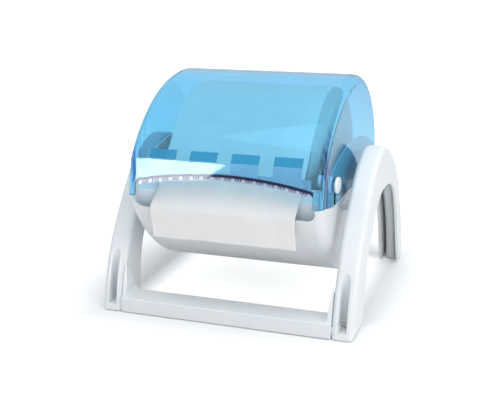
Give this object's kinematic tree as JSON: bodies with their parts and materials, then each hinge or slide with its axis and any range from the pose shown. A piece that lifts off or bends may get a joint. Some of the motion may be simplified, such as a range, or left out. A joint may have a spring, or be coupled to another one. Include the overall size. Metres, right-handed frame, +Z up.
{
  "type": "wiping roll dispenser",
  "caption": "Bench stand of side arches and a front bar that carries a white tub with a translucent hinged cover over a roll of wiping paper, torn off at a toothed bar.",
  "frame": {"origin": "on the bench under the middle of the stand, at the bottom centre of the whole part", "axes": "+X to the right seen from the front, along the roll; +Y to the rear; +Z up"},
  "size_m": [0.404, 0.3839, 0.35],
  "materials": {
    "white_plastic": "fine satin moulded plastic",
    "blue_plastic": "glossy translucent moulding",
    "clear_plastic": "glossy clear moulding",
    "button_plastic": "glossy white moulding",
    "grey_plastic": "plain moulded plastic",
    "steel": "bright zinc plated",
    "foot_rubber": "matt rubber",
    "wiping_paper": "soft embossed paper",
    "cardboard": "wound grey board"
  },
  "bodies": {
    "stand": {"right_side_arch": "white_plastic", "left_side_arch": "white_plastic", "front_crossbar": "white_plastic", "crossbar_screws": "steel", "rubber_feet": "foot_rubber", "base_shell": "white_plastic", "arch_screws": "steel", "paper_guide": "white_plastic", "guide_screws": "steel", "right_cradle": "grey_plastic", "left_cradle": "grey_plastic", "cradle_screws": "steel", "right_hinge_pin": "steel", "left_hinge_pin": "steel", "right_latch_spring": "steel", "left_latch_spring": "steel", "right_latch_housing": "grey_plastic", "left_latch_housing": "grey_plastic", "latch_screws": "steel", "paper_sheet": "wiping_paper"},
    "cover": {"cover": "blue_plastic", "tear_bar": "clear_plastic"},
    "roll": {"spindle": "steel", "right_hub": "grey_plastic", "left_hub": "grey_plastic", "cardboard_core": "cardboard", "paper_roll": "wiping_paper"},
    "right_latch": {"right_latch_button": "button_plastic"},
    "left_latch": {"left_latch_button": "button_plastic"}
  },
  "joints": [
    {"name": "cover_hinge", "type": "hinge", "parent": "stand", "child": "cover", "pos_m": [0, 0.18573, 0.1785], "axis": [-1, 0, 0], "range_deg": [0, 95]},
    {"name": "roll_spin", "type": "hinge", "parent": "stand", "child": "roll", "pos_m": [0, 0.025, 0.194], "axis": [1, 0, 0], "continuous": true},
    {"name": "right_latch_press", "type": "slide", "parent": "stand", "child": "right_latch", "axis": [-1, 0, 0], "range_m": [0, 0.002], "stiffness_N_per_m": 600, "springref_m": -0.003, "deforming": ["right_latch_spring"]},
    {"name": "left_latch_press", "type": "slide", "parent": "stand", "child": "left_latch", "axis": [1, 0, 0], "range_m": [0, 0.002], "stiffness_N_per_m": 600, "springref_m": -0.003, "deforming": ["left_latch_spring"]}
  ]
}
